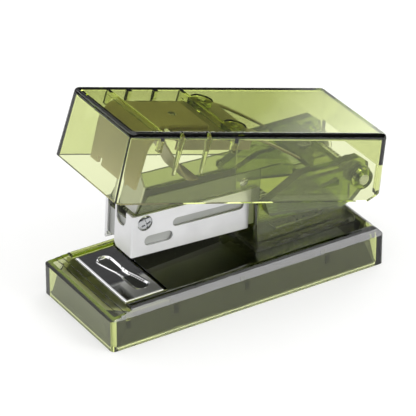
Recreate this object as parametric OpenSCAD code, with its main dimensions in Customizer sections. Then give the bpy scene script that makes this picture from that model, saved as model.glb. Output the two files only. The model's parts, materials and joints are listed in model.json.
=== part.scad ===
// Mini desktop stapler with a hollow transparent base, a sprung staple magazine
// and a box-shaped cap. All lengths are in millimetres, angles in degrees.
// The nose points along -X, the base rests on Z = 0 and +Z is up.
// Parts are drawn with X measured from a datum just behind the front of the base;
// the magazine and the cap are drawn level and are then swung up to their rest angles.

/* [Base] */
// Length of the base
base_length = 68.4; // [68:0.1:68.8]
// Width of the base
base_width = 28.7; // [28.4:0.1:30]
// Height of the deck above the table
deck_height = 9.1; // [9:0.1:9.2]
// Thickness of the base walls
base_wall = 1.4; // [1.2:0.1:1.6]
// Width of the chamfer round the top of the base
base_chamfer = 1.5; // [1.2:0.1:1.6]
// Radius of the upright corners of the base
base_corner = 1; // [0.8:0.1:1.4]

/* [Hinge] */
// Distance of the hinge pin behind the datum
pin_x = 63.6; // [63.5:0.1:63.8]
// Height of the hinge pin
pin_z = 21.2; // [21.1:0.1:21.4]
// Radius of the hinge pin
pin_r = 1.2; // [1:0.1:1.3]
// Running clearance round the hinge pin
pin_gap = 0.05; // [0.03:0.01:0.08]

/* [Rest angles] */
// Nose-up angle of the magazine at rest
magazine_rise = 3.2; // [3:0.1:3.4]
// Nose-up angle of the cap at rest
cap_rise = 16.4; // [16:0.1:16.8]

/* [Magazine] */
// Outside width of the chrome magazine cover
magazine_width = 11; // [10.9:0.1:11.2]
// Sheet thickness of the magazine cover
cover_sheet = 0.5; // [0.4:0.05:0.5]
// Front of the magazine when it lies level
magazine_front = 10; // [9.8:0.1:10]
// Underside of the magazine when it lies level
magazine_floor = 12.2; // [12.1:0.1:12.3]
// Height of the magazine cover
cover_height = 9.7; // [9.4:0.1:9.8]
// Height of the inner channel walls above the underside
channel_height = 13.7; // [13:0.1:13.8]

/* [Cap] */
// Height of the cap walls
cap_height = 15.75; // [15.5:0.05:15.8]
// Width of the cap along its lower edge
cap_width = 25.7; // [25.4:0.1:26]
// Width of the cap across its top at the front
cap_top_front_width = 24.1; // [23.6:0.1:24.6]
// Width of the cap across its top at the rear
cap_top_rear_width = 25.6; // [25:0.1:25.8]
// Thickness of the cap walls
cap_wall = 1.2; // [1:0.1:1.2]
// Thickness of the top of the cap
cap_roof = 2; // [1.6:0.1:2]
// Radius of the outer edges of the cap
cap_edge = 0.9; // [0.6:0.1:1.2]

/* [Springs] */
// Wire radius of the pusher spring
spring_wire = 0.18; // [0.12:0.02:0.2]
// Number of turns of the pusher spring
spring_turns = 22; // [14:1:26]
// Thickness of the leaf springs
leaf_sheet = 0.45; // [0.3:0.05:0.5]

/* [Hidden] */

$fn = 48;
eps = 0.01;
front_x = -34.5;
bore_r = pin_r + pin_gap;

// Base
base_front = -0.4;
base_rear = base_front + base_length;
rim_height = deck_height - 1.9;
cavity_top = deck_height - 1.7;
collar_height = 1.2;
screw_hole_r = 1.1;
screw_r = 0.95;
recess_floor = deck_height - 0.9;
recess_rear = 15;
recess_half = 11.2;
plate_thickness = 1.2;
plate_gap = 0.1;
tray_wall = 0.9;
tray_corner = 3.6;
foot_r = 3;
foot_inset = 6.5;
tab_places = [4, 15.7, 33.3, 53.7];
tab_depth = 0.3;

// Anvil
anvil_front = 5.2;
anvil_length = 9.6;
anvil_width = 21.2;
anvil_sheet = 0.5;
pocket_depth = 0.35;
pocket_r = 1.15;

// Hinge bracket
bracket_front = 39.5;
bracket_rear = 62;
bracket_floor = 1.2;
cheek_inner = 6.2;
cheek_sheet = 1.5;
cheek_top = 23.4;
pivot_boss_r = 2.6;
bracket_screw_places = [43.5, 58.5];

// Magazine
cover_rear = 39;
cover_half = magazine_width / 2;
layer_gap = 0.05;
channel_sheet = 0.45;
channel_half = cover_half - cover_sheet - layer_gap;
channel_inner = channel_half - channel_sheet;
channel_floor_z = magazine_floor + cover_sheet + layer_gap;
channel_top = magazine_floor + channel_height;
slot_front = 13.3;
rail_half = 3.9;
rail_sheet = 0.5;
rail_top = magazine_floor + 4.8;
rail_rear = 46;
rail_floor = channel_floor_z + channel_sheet;
rod_z = magazine_floor + 2.8;
rod_r = 0.5;
rod_rear = 57.4;
bulkhead_x = 56;
pusher_length = 5.7;
pusher_half = 4.4;
spring_r = 1.1;
front_rivet = [13.1, magazine_floor + 7.7];
front_rivet_r = 1.8;
front_shank_r = 0.8;
rear_rivet = [37.3, magazine_floor + 11.5];
rear_rivet_r = 1;
rear_shank_r = 0.5;

// Carrier housing
arm_inner = 8;
arm_outer = 10.2;
bridge_front = 52;
bridge_rear = 59;
bridge_z = 24.6;
bridge_sheet = 1.2;
bridge_screw_x = 55.5;
bridge_screw_r = 0.8;

// Cap
cap_front = 0.9;
cap_bottom = 16.25;
cap_top = cap_bottom + cap_height;
cap_rear_bottom = 69.4;
cap_rear_top = 66.7;
ceiling_z = cap_top - cap_roof - 0.01;
cap_boss_r = 2.4;
pin_half = 11.9;
rear_slope = (cap_rear_bottom - cap_rear_top) / cap_height;
notch_half = 10.4;
notch_top = pin_z + 3;
holder_x = 7.3;
holder_sheet = 0.8;
holder_half = 8.75;
holder_rear = 24;
holder_screw_x = 18.5;
cap_screw_r = 0.9;
cap_screw_head = 1.1;
leaf_z = ceiling_z - holder_sheet - leaf_sheet;
leaf_front = 14.5;
leaf_rear = 34.5;
boss_x = 30.2;
boss_y = 6.6;
blade_x = 12.6;
blade_sheet = 0.5;
blade_half = 4.25;
blade_tip = 9.9;

// Half of the cap's width at a place along it and a height, less an inset
function cap_half(x, z, inset = 0) =
    let (along = (x - cap_front) / (cap_rear_top - cap_front))
    let (up = (z - cap_bottom) / cap_height)
    let (top = cap_top_front_width + (cap_top_rear_width - cap_top_front_width) * along)
    (cap_width + (top - cap_width) * up) / 2 - inset;

// Rear face of the cap at a height
function cap_rear(z) = cap_rear_bottom - rear_slope * (z - cap_bottom);

// Polygon with each corner cut back by an arc of radius r
function rounded(p, r, steps = 6) = [
    for (i = [0:len(p) - 1])
        let (a = p[(i + len(p) - 1) % len(p)], b = p[i], c = p[(i + 1) % len(p)])
        let (u = (a - b) / norm(a - b), v = (c - b) / norm(c - b))
        let (half = acos(u * v) / 2, middle = (u + v) / norm(u + v))
        let (centre = b + middle * r / sin(half), from = b + u * r / tan(half) - centre)
        let (turn = (180 - 2 * half) * sign(u[0] * v[1] - u[1] * v[0]))
        for (k = [0:steps])
            let (t = -turn * k / steps)
            centre + [from[0] * cos(t) - from[1] * sin(t), from[0] * sin(t) + from[1] * cos(t)]
];

// Moves parts drawn from the datum to the model's origin
module from_front() {
    translate([front_x, 0, 0]) children();
}

// Swings children nose up about the hinge pin
module swing(angle) {
    translate([pin_x, 0, pin_z]) rotate([0, angle, 0]) translate([-pin_x, 0, -pin_z]) children();
}

module magazine_pose() {
    from_front() swing(magazine_rise) children();
}

module cap_pose() {
    from_front() swing(cap_rise) children();
}

// Extrudes a side outline, drawn in X and Z, from y0 to y1
module side_slab(y0, y1) {
    translate([0, y1, 0]) rotate([90, 0, 0]) linear_extrude(y1 - y0) children();
}

// The same slab on both sides of the middle
module both_sides(y0, y1) {
    side_slab(y0, y1) children();
    side_slab(-y1, -y0) children();
}

// Block from one corner to the other
module block(low, high) {
    translate(low) cube(high - low);
}

// Cylinder along Y, centred on the middle plane
module cross_cylinder(x, z, r, y0, y1) {
    translate([x, y1, z]) rotate([90, 0, 0]) cylinder(r = r, h = y1 - y0);
}

module rounded_square(x0, x1, half, r) {
    polygon(rounded([[x0, -half], [x1, -half], [x1, half], [x0, half]], r));
}

// Straight slot with round ends between two points
module slot_outline(a, b, r) {
    direction = (b - a) / norm(b - a);
    side = [-direction[1], direction[0]] * r;
    translate(a) circle(r);
    translate(b) circle(r);
    polygon([a + side, b + side, b - side, a - side]);
}

// Strip of constant thickness along a path in the side view
module strip_outline(path, thickness) {
    for (i = [0:len(path) - 2])
        let (a = path[i], b = path[i + 1], d = (b - a) / norm(b - a))
        let (n = [-d[1], d[0]] * thickness / 2)
        polygon([a + n, a - n, b - n, b + n]);
    for (p = path)
        translate(p) circle(thickness / 2, $fn = 16);
}

// ---------------------------------------------------------------- base

// Outline of the base in plan, moved in from its walls by inset
module base_plan(inset, r) {
    rounded_square(base_front + inset, base_rear - inset, base_width / 2 - inset, r);
}

module base_block() {
    half = base_width / 2;
    intersection() {
        linear_extrude(deck_height) base_plan(0, base_corner);
        side_slab(-half, half) polygon([
            [base_front, 0],
            [base_rear, 0],
            [base_rear, rim_height],
            [base_rear - base_chamfer, deck_height],
            [recess_rear, deck_height],
            [recess_rear, recess_floor],
            [base_front + 3.8, recess_floor],
            [base_front + 3.8, recess_floor - 0.25],
            [base_front + 2.5, recess_floor - 0.25],
            [base_front + 2.5, recess_floor - 0.5],
            [base_front + 1.2, recess_floor - 0.5],
            [base_front, rim_height]
        ]);
        base_sides();
    }
    intersection() {
        both_sides(recess_half, half) polygon([
            [anvil_front - 0.3, rim_height - 1],
            [recess_rear + 1, rim_height - 1],
            [recess_rear + 1, deck_height],
            [anvil_front - 0.3, deck_height]
        ]);
        base_sides();
    }
}

// Long block with the chamfers along both sides of the deck
module base_sides() {
    half = base_width / 2;
    translate([base_front, 0, 0]) rotate([90, 0, 90]) linear_extrude(base_length) polygon([
        [-half, 0],
        [half, 0],
        [half, rim_height],
        [half - base_chamfer, deck_height],
        [base_chamfer - half, deck_height],
        [-half, rim_height]
    ]);
}

module base_shell() {
    inner = base_width / 2 - base_wall;
    color([0.62, 0.72, 0.2, 0.5]) from_front() {
        difference() {
            base_block();
            translate([0, 0, -1]) linear_extrude(cavity_top + 1) base_plan(base_wall, 0.5);
            for (x = tab_places)
                both_sides(inner - 1, inner + tab_depth + plate_gap)
                    polygon([[x - 0.6, 4], [x + 0.6, 4], [x + 0.6, 6.5], [x - 0.6, 6.5]]);
            for (x = bracket_screw_places)
                translate([x, 0, 0]) cylinder(r = screw_hole_r, h = deck_height + 1);
        }
        for (x = bracket_screw_places)
            translate([x, 0, cavity_top - collar_height]) difference() {
                cylinder(r = 2.6, h = collar_height + eps);
                translate([0, 0, -1]) cylinder(r = screw_hole_r, h = collar_height + 2);
            }
    }
}

// Tray outline in plan with its four corners cut off
module tray_plan(inset, cut) {
    x0 = base_front + inset;
    x1 = base_rear - inset;
    half = base_width / 2 - inset;
    polygon([
        [x0 + cut, -half],
        [x1 - cut, -half],
        [x1, cut - half],
        [x1, half - cut],
        [x1 - cut, half],
        [x0 + cut, half],
        [x0, half - cut],
        [x0, cut - half]
    ]);
}

// Block that tapers at its corners from the foot to the top of the tray
module tray_block(inset, low, high) {
    hull() {
        translate([0, 0, low]) linear_extrude(eps) tray_plan(inset, 0.6);
        translate([0, 0, high - eps]) linear_extrude(eps) tray_plan(inset, tray_corner);
    }
}

module bottom_tray() {
    inset = base_wall + plate_gap;
    half = base_width / 2 - inset;
    top = cavity_top - plate_gap;
    color([0.24, 0.25, 0.24]) from_front() {
        difference() {
            tray_block(inset, 0.2, top);
            translate([0, 0, plate_thickness]) tray_block(inset + tray_wall, 0.2, top);
            for (x = [foot_inset, base_length - foot_inset], y = [-1, 1] * (half - foot_r - 1.5))
                translate([x, y, -1]) cylinder(r = foot_r + plate_gap, h = 1.8);
        }
        for (x = tab_places)
            both_sides(half - 0.3, half + tab_depth)
                polygon([[x - 0.5, 4.2], [x + 0.5, 4.2], [x + 0.5, 6.2], [x - 0.5, 6.2]]);
    }
}

module rubber_feet() {
    half = base_width / 2 - base_wall - plate_gap;
    color([0.08, 0.08, 0.08]) from_front()
        for (x = [foot_inset, base_length - foot_inset], y = [-1, 1] * (half - foot_r - 1.5))
            translate([x, y, 0]) cylinder(r = foot_r, h = 0.8);
}

module anvil_pocket(side) {
    turn = 7;
    rotate([0, 0, turn]) translate([0, 0, anvil_sheet - pocket_depth])
        linear_extrude(1) slot_outline([0, side * 1.2], [0, side * 6.6], pocket_r);
}

module anvil_plate() {
    color([0.82, 0.82, 0.84]) from_front() translate([anvil_front, 0, recess_floor]) difference() {
        block([0, -anvil_width / 2, 0], [anvil_length, anvil_width / 2, anvil_sheet]);
        translate([5.5, 0, 0]) {
            anvil_pocket(-1);
            anvil_pocket(1);
        }
    }
}

module cheek_outline() {
    difference() {
        union() {
            polygon(rounded([
                [bracket_front, deck_height + 0.5],
                [bracket_rear, deck_height + 0.5],
                [bracket_rear, cheek_top - 0.5],
                [bracket_front + 9, cheek_top],
                [bracket_front, cheek_top - 3.2]
            ], 0.4));
            translate([pin_x, pin_z]) circle(pivot_boss_r);
        }
        translate([pin_x, pin_z]) circle(bore_r);
    }
}

module hinge_bracket() {
    color([0.6, 0.7, 0.25, 0.5]) from_front() {
        both_sides(cheek_inner, cheek_inner + cheek_sheet) cheek_outline();
        difference() {
            block([bracket_front - 1, -8.8, deck_height], [bracket_rear + 2, 8.8, deck_height + bracket_floor]);
            for (x = bracket_screw_places)
                translate([x, 0, deck_height - 1]) cylinder(r = screw_r, h = bracket_floor + 0.7);
        }
    }
}

module bracket_screws() {
    head_z = cavity_top - collar_height - 1.4;
    color([0.7, 0.7, 0.72]) from_front()
        for (x = bracket_screw_places)
            translate([x, 0, head_z]) difference() {
                union() {
                    cylinder(r = 1.9, h = 1.4);
                    cylinder(r = screw_r, h = deck_height + 0.8 - head_z);
                }
                for (turn = [0, 90])
                    rotate([0, 0, turn]) translate([-1.1, -0.2, -eps]) cube([2.2, 0.4, 0.7]);
            }
}

module hinge_pin() {
    color([0.75, 0.75, 0.77]) from_front() cross_cylinder(pin_x, pin_z, pin_r, -pin_half, pin_half);
}

module hinge_bushes() {
    color([0.85, 0.85, 0.8]) from_front() both_sides(channel_half + 0.1, cheek_inner)
        difference() {
            translate([pin_x, pin_z]) circle(2.2);
            translate([pin_x, pin_z]) circle(pin_r);
        }
}

module lift_spring() {
    floor_z = deck_height + bracket_floor + leaf_sheet / 2;
    path = [
        [46.5, floor_z],
        [57.4, floor_z],
        [58.4, floor_z + 0.4],
        [58.6, floor_z + 1],
        [57.6, floor_z + 1.45],
        [47.4, 12.65],
        [45.6, 12.85]
    ];
    color([0.35, 0.35, 0.34]) from_front() side_slab(-3.6, 3.6) strip_outline(path, leaf_sheet);
}

// ------------------------------------------------------------ magazine

module front_flap_outline(y0, y1, z0, z1, chamfer) {
    polygon([[y0, z0], [y1 - chamfer, z0], [y1, z0 + chamfer], [y1, z1], [y0, z1]]);
}

// Sheet lying across the front, drawn in Y and Z
module front_slab(x0, x1) {
    translate([x0, 0, 0]) rotate([90, 0, 90]) linear_extrude(x1 - x0) children();
}

module magazine_cover() {
    top = magazine_floor + cover_height;
    color([0.86, 0.86, 0.88]) magazine_pose() {
        both_sides(cover_half - cover_sheet, cover_half) difference() {
            polygon(rounded([
                [magazine_front, magazine_floor],
                [cover_rear, magazine_floor],
                [cover_rear, top],
                [magazine_front, top]
            ], 0.3));
            slot_outline([14.3, magazine_floor + 3.3], [18.9, magazine_floor + 3.3], 1.15);
            slot_outline([21, magazine_floor + 6.1], [36.6, magazine_floor + 6.1], 1);
            translate(front_rivet) circle(front_shank_r);
        }
        block([slot_front, -cover_half + 0.2, magazine_floor],
            [cover_rear, cover_half - 0.2, magazine_floor + cover_sheet]);
        front_slab(magazine_front, magazine_front + cover_sheet) difference() {
            union() {
                front_flap_outline(-cover_half, 1.6, magazine_floor, top, 0.9);
                polygon([
                    [cover_half - 1, magazine_floor + 1.4],
                    [cover_half, magazine_floor],
                    [cover_half, top],
                    [cover_half - 1, top]
                ]);
            }
            slot_outline([-0.9, top + 1], [-0.9, top - 1.9], 1.9);
        }
    }
}

module channel_outline() {
    difference() {
        union() {
            polygon(rounded([
                [magazine_front + 1.1, magazine_floor + 1.2],
                [14, channel_floor_z],
                [60, channel_floor_z],
                [61.4, 17.2],
                [61.8, 23.3],
                [59.4, bridge_z],
                [50, bridge_z],
                [46.5, channel_top],
                [13.6, channel_top],
                [magazine_front + 1.1, channel_top - 4.4]
            ], 0.3));
            translate([pin_x, pin_z]) circle(2.6);
        }
        translate([pin_x, pin_z]) circle(bore_r);
        translate(rear_rivet) circle(rear_shank_r);
        translate(front_rivet) circle(front_shank_r);
    }
}

module magazine_channel() {
    color([0.7, 0.71, 0.72]) magazine_pose() {
        both_sides(channel_inner, channel_half) channel_outline();
        block([slot_front, -channel_half + 0.2, channel_floor_z],
            [60, channel_half - 0.2, channel_floor_z + channel_sheet]);
        front_slab(magazine_front + 0.55, magazine_front + 1) mirror([1, 0, 0])
            front_flap_outline(-channel_half, 2.2, magazine_floor + 1.5, channel_top - 6, 0.8);
        block([magazine_front + 0.55, channel_inner, magazine_floor + 1.5],
            [magazine_front + 1.6, channel_half, channel_top - 6]);
        difference() {
            block([bulkhead_x, -channel_half + 0.2, channel_floor_z],
                [bulkhead_x + 0.8, channel_half - 0.2, 18]);
            translate([bulkhead_x - 1, 0, rod_z]) rotate([0, 90, 0]) cylinder(r = rod_r, h = 3);
        }
        difference() {
            block([53, -channel_half + 0.2, bridge_z - channel_sheet], [58, channel_half - 0.2, bridge_z]);
            translate([bridge_screw_x, 0, bridge_z - 2]) cylinder(r = bridge_screw_r, h = 3);
        }
    }
}

// Two rivets with cross-slotted heads standing on the faces at y and -y
module rivet_pair(place, y, shank_r, head_r, head_rise) {
    for (side = [0, 1]) mirror([0, side, 0]) {
        cross_cylinder(place[0], place[1], shank_r, channel_inner, y + 0.1);
        difference() {
            cross_cylinder(place[0], place[1], head_r, y, y + head_rise);
            for (turn = [0, 90])
                translate([place[0], y + head_rise, place[1]]) rotate([0, turn + 35, 0])
                    cube([head_r * 1.1, 0.3, head_r * 0.22], center = true);
        }
    }
}

module front_rivets() {
    color([0.8, 0.8, 0.82]) magazine_pose()
        rivet_pair(front_rivet, cover_half, front_shank_r, front_rivet_r, 0.35);
}

module rear_rivets() {
    color([0.75, 0.75, 0.77]) magazine_pose()
        rivet_pair(rear_rivet, channel_half, rear_shank_r, rear_rivet_r, 0.3);
}

module staple_rail() {
    color([0.72, 0.72, 0.74]) magazine_pose() {
        for (side = [0, 1]) mirror([0, side, 0]) {
            block([slot_front, rail_half - rail_sheet, rail_floor], [rail_rear, rail_half, rail_top]);
            block([slot_front, 0.8, rail_top - rail_sheet], [rail_rear, rail_half, rail_top]);
        }
        block([rail_rear - 2, -rail_half, rail_top - rail_sheet], [rail_rear, rail_half, rail_top]);
        difference() {
            block([slot_front, -rail_half, rail_floor], [slot_front + 0.6, rail_half, rail_top]);
            translate([slot_front - 1, 0, rod_z]) rotate([0, 90, 0]) cylinder(r = rod_r, h = 3);
        }
    }
}

module guide_rod() {
    color([0.7, 0.7, 0.72]) magazine_pose() translate([slot_front, 0, rod_z])
        rotate([0, 90, 0]) cylinder(r = rod_r, h = rod_rear - slot_front);
}

// Close-set rings that take the place of the coil's turns
module pusher_spring() {
    x0 = slot_front + 0.6 + pusher_length + 0.1 + spring_wire;
    x1 = bulkhead_x - 0.05 - spring_wire;
    pitch = (x1 - x0) / (spring_turns - 1);
    lean = atan(pitch / (4 * spring_r));
    color([0.6, 0.6, 0.62]) magazine_pose()
        for (i = [0:spring_turns - 1])
            translate([x0 + i * pitch, 0, rod_z])
                rotate([0, 90 + (i == 0 || i == spring_turns - 1 ? 0 : lean), 0])
                rotate_extrude() translate([spring_r, 0]) circle(spring_wire, $fn = 16);
}

module arm_outline() {
    difference() {
        union() {
            polygon(rounded([
                [39.8, 20.6],
                [41.2, 16.9],
                [59.6, 14.4],
                [61.9, 15.4],
                [pin_x + 2.3, 19.6],
                [pin_x + 1.9, 24.4],
                [pin_x - 0.3, 26],
                [57, 25.8],
                [48.6, 25.5]
            ], 0.6));
            translate([pin_x, pin_z]) circle(2.8);
        }
        translate([pin_x, pin_z]) circle(bore_r);
        polygon([[54, 20.8], [58.2, 21.9], [58.2, 20.4]]);
    }
}

module carrier_housing() {
    color([0.55, 0.66, 0.22, 0.5]) magazine_pose() {
        both_sides(arm_inner, arm_outer) arm_outline();
        both_sides(arm_outer - eps, arm_outer + 0.2) difference() {
            translate([pin_x, pin_z]) circle(2.4);
            translate([pin_x, pin_z]) circle(bore_r);
        }
        difference() {
            block([bridge_front, -arm_inner - 0.5, bridge_z], [bridge_rear, arm_inner + 0.5, bridge_z + bridge_sheet]);
            translate([bridge_screw_x, 0, bridge_z - 1]) cylinder(r = bridge_screw_r, h = 4);
        }
    }
}

module housing_screw() {
    color([0.7, 0.7, 0.72]) magazine_pose() translate([bridge_screw_x, 0, bridge_z + bridge_sheet]) difference() {
        union() {
            cylinder(r = 1.5, h = 0.9);
            translate([0, 0, -bridge_sheet - 1.2]) cylinder(r = bridge_screw_r, h = 1.5 + bridge_sheet);
        }
        for (turn = [0, 90])
            rotate([0, 0, turn]) translate([-0.9, -0.18, 0.45]) cube([1.8, 0.36, 1]);
    }
}

module staple_pusher() {
    x0 = slot_front;
    x1 = slot_front + pusher_length;
    color([0.75, 0.75, 0.78]) magazine_pose() {
        for (side = [0, 1]) mirror([0, side, 0])
            block([x0, rail_half + 0.05, rail_floor + 0.2], [x1, pusher_half, rail_top + 0.6]);
        block([x0, -pusher_half, rail_top + 0.1], [x1, pusher_half, rail_top + 2]);
        difference() {
            block([x0 + 0.8, -0.6, rod_z - 1], [x1 + 0.6, 0.6, rail_top + 0.5]);
            translate([x0, 0, rod_z]) rotate([0, 90, 0]) cylinder(r = rod_r + 0.05, h = pusher_length + 2);
        }
    }
}

// ----------------------------------------------------------------- cap

// Ball-cornered block that fills the cap's outline down to a height
module cap_block(inset, roof, r, low) {
    top = cap_top - roof - r;
    hull()
        for (z = [low, top], side = [-1, 1], end = [0, 1])
            let (x = end == 0 ? cap_front + inset + r : cap_rear(z) - inset - r)
            translate([x, side * (cap_half(x, z, inset) - r), z]) sphere(r, $fn = 24);
}

module ceiling_peg(x, side, drop) {
    z = ceiling_z - drop;
    translate([x, side * (cap_half(x, z, cap_wall) - 0.7), z]) cylinder(r1 = 0.4, r2 = 0.7, h = drop + 0.3);
}

module cap_shell() {
    color([0.66, 0.75, 0.2, 0.5]) cap_pose() {
        difference() {
            union() {
                difference() {
                    cap_block(0, 0, cap_edge, cap_bottom - 3);
                    cap_block(cap_wall, cap_roof, 0.3, cap_bottom - 6);
                    block([-5, -20, cap_bottom - 15], [80, 20, cap_bottom]);
                    block([pin_x - 5, -notch_half, 0], [80, notch_half, notch_top]);
                    side_slab(-20, 20) polygon([[65.6, cap_bottom - 0.2], [80, cap_bottom - 0.2], [80, 26.3]]);
                }
                both_sides(arm_outer + 0.3, cap_half(pin_x, pin_z, cap_wall) + 0.2)
                    translate([pin_x, pin_z]) circle(cap_boss_r);
            }
            cross_cylinder(pin_x, pin_z, bore_r, -pin_half - pin_gap, pin_half + pin_gap);
        }
        for (x = [[6.2, 7.2], [24.6, 25.6]])
            let (drop = x[0] < 10 ? 2.4 : holder_sheet - 0.02, w = cap_half(x[0], ceiling_z, cap_wall))
            block([x[0], -w, ceiling_z - drop], [x[1], w, ceiling_z + 0.1]);
        for (side = [-1, 1]) {
            ceiling_peg(15.5, side, 5.4);
            ceiling_peg(22.6, side, 3.4);
            translate([boss_x, side * boss_y, ceiling_z - holder_sheet]) difference() {
                cylinder(r = 2.4, h = holder_sheet + 0.1);
                translate([0, 0, -1]) cylinder(r = cap_screw_r, h = holder_sheet + 1);
            }
        }
    }
}

module driver_holder() {
    color([0.78, 0.74, 0.58]) cap_pose() {
        front_slab(holder_x, holder_x + holder_sheet) difference() {
            polygon([
                [-holder_half + 0.7, 17.6],
                [holder_half - 0.7, 17.6],
                [holder_half, ceiling_z],
                [-holder_half, ceiling_z]
            ]);
            translate([-5.2, 17.2]) square([1.6, 1.9]);
            translate([3.6, 17.2]) square([1.6, 1.9]);
        }
        difference() {
            block([holder_x, -6, ceiling_z - holder_sheet], [holder_rear, 6, ceiling_z]);
            translate([holder_screw_x, 0, ceiling_z - 2]) cylinder(r = cap_screw_r, h = 3);
        }
    }
}

// Screw driven up into the cap's ceiling, with a cross recess in its head
module cap_screw(x, y, head_r) {
    head_z = leaf_z - cap_screw_head;
    translate([x, y, head_z]) difference() {
        union() {
            cylinder(r = head_r, h = cap_screw_head);
            cylinder(r = cap_screw_r, h = ceiling_z - head_z);
        }
        for (turn = [0, 90])
            rotate([0, 0, turn]) translate([-1.2, -0.22, -eps]) cube([2.4, 0.44, 0.6]);
    }
}

module holder_screw() {
    color([0.7, 0.7, 0.72]) cap_pose() cap_screw(holder_screw_x, 0, 2);
}

module driver_blade() {
    color([0.45, 0.45, 0.46]) cap_pose() {
        front_slab(blade_x, blade_x + blade_sheet) polygon([
            [-blade_half + 0.3, blade_tip],
            [blade_half - 0.3, blade_tip],
            [blade_half, blade_tip + 0.5],
            [blade_half, ceiling_z - holder_sheet],
            [-blade_half, ceiling_z - holder_sheet],
            [-blade_half, blade_tip + 0.5]
        ]);
        block([blade_x, -blade_half, ceiling_z - holder_sheet - blade_sheet],
            [leaf_front - 0.4, blade_half, ceiling_z - holder_sheet]);
    }
}

module leaf_spring() {
    middle = leaf_z + leaf_sheet / 2;
    front_leg = [
        [leaf_front, middle],
        [14.3, 28.1],
        [15.2, 26.4],
        [17.4, 24.2],
        [20.4, 20.6],
        [22.2, 18.4],
        [23.2, 17.8],
        [25, 17.7]
    ];
    rear_leg = [[leaf_rear, middle], [36.5, 28.5], [41, 27], [48.6, 24.1]];
    color([0.74, 0.7, 0.5]) cap_pose() {
        difference() {
            block([leaf_front, -8.4, leaf_z], [leaf_rear, 8.4, leaf_z + leaf_sheet]);
            translate([holder_screw_x, 0, leaf_z - 1]) cylinder(r = cap_screw_r, h = 3);
            for (side = [-1, 1])
                translate([boss_x, side * boss_y, leaf_z - 1]) cylinder(r = cap_screw_r, h = 3);
        }
        side_slab(-3.7, 3.7) strip_outline(front_leg, leaf_sheet);
        both_sides(5.7, 7.8) strip_outline(rear_leg, leaf_sheet);
    }
}

module spring_screws() {
    color([0.7, 0.7, 0.72]) cap_pose()
        for (side = [-1, 1])
            cap_screw(boss_x, side * boss_y, 1.9);
}

base_shell();
bottom_tray();
rubber_feet();
anvil_plate();
hinge_bracket();
bracket_screws();
hinge_pin();
hinge_bushes();
lift_spring();
magazine_cover();
magazine_channel();
front_rivets();
rear_rivets();
staple_rail();
guide_rod();
pusher_spring();
carrier_housing();
housing_screw();
staple_pusher();
cap_shell();
driver_holder();
holder_screw();
driver_blade();
leaf_spring();
spring_screws();
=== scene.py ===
"""Mini stapler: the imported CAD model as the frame, with its looks in metres on top.

The stapler points its front to -X and stands on Z = 0. The cap and the magazine swing on one
hinge pin at the rear. Their pieces are drawn level and in mm, with X counted from a datum near
the front. ON_CAP and ON_MAGAZINE then turn them about the pin to where they rest, in metres.
"""

import json
import math

import bpy
import bmesh
from mathutils import Matrix, Vector


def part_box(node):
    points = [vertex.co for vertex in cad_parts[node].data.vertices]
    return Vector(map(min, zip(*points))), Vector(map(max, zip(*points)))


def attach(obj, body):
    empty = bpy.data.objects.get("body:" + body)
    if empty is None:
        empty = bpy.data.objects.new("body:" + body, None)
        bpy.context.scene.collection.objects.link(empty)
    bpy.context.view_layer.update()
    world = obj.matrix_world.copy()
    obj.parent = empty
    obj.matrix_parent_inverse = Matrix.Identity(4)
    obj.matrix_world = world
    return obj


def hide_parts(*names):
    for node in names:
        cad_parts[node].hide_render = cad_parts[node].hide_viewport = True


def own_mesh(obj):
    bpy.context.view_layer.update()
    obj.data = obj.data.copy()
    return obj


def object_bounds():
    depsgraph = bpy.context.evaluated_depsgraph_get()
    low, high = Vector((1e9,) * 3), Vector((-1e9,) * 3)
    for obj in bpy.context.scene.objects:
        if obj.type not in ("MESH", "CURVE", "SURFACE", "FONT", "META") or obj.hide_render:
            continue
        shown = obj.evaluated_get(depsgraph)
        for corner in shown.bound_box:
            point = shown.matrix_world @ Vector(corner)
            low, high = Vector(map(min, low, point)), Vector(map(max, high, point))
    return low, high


MM = 0.001

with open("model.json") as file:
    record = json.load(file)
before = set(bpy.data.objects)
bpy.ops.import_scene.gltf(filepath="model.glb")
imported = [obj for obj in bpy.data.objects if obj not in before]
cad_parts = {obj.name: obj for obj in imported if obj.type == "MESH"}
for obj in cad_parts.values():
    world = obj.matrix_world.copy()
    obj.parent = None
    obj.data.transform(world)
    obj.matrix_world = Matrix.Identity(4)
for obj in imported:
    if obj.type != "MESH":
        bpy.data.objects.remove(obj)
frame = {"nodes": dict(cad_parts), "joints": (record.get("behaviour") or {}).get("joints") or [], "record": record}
cad_low, cad_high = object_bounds()
nodes = frame["nodes"]
body_of_node = {
    node: body
    for body, members in frame["record"]["behaviour"]["bodies"].items()
    for node in members
}

# Place of the hinge pin, in metres, and its distance from the datum
pin = Vector(next(j for j in frame["joints"] if j["name"] == "cap_pivot")["pos_m"])
PIN_X = 63.6
PIN_Z = pin.z / MM
DATUM = Vector((pin.x - PIN_X * MM, 0, 0))
MAGAZINE_RISE = math.radians(3.2)
CAP_RISE = math.radians(16.4)


def swung(angle):
    """From a level part in mm from the datum to its rest place in metres."""
    turn = Matrix.Translation(pin) @ Matrix.Rotation(angle, 4, "Y") @ Matrix.Translation(-pin)
    return turn @ Matrix.Translation(DATUM) @ Matrix.Scale(MM, 4)


LEVEL = swung(0)
ON_MAGAZINE = swung(MAGAZINE_RISE)
ON_CAP = swung(CAP_RISE)

# ------------------------------------------------------------------ materials

PLASTIC_IOR = 1.57
GREEN_LOSS = (0.115, 0.085, 0.38)  # what red, green and blue lose in a mm

# Scales of noise, per metre
SCRATCHES = 900
WAVES = 60
STAINS = 120
MOTTLING = 300
METAL_GRAIN = 1500
PLASTIC_GRAIN = 2500

# Stretches of drawn grain, and the relief in metres of the faintest
DRAWN_SHEET = (0.15, 1, 1)
DRAWN_STRIP = (0.06, 1, 1)
DRAWN_UPRIGHT = (1, 1, 0.08)
FAINT = 0.000001


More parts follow.
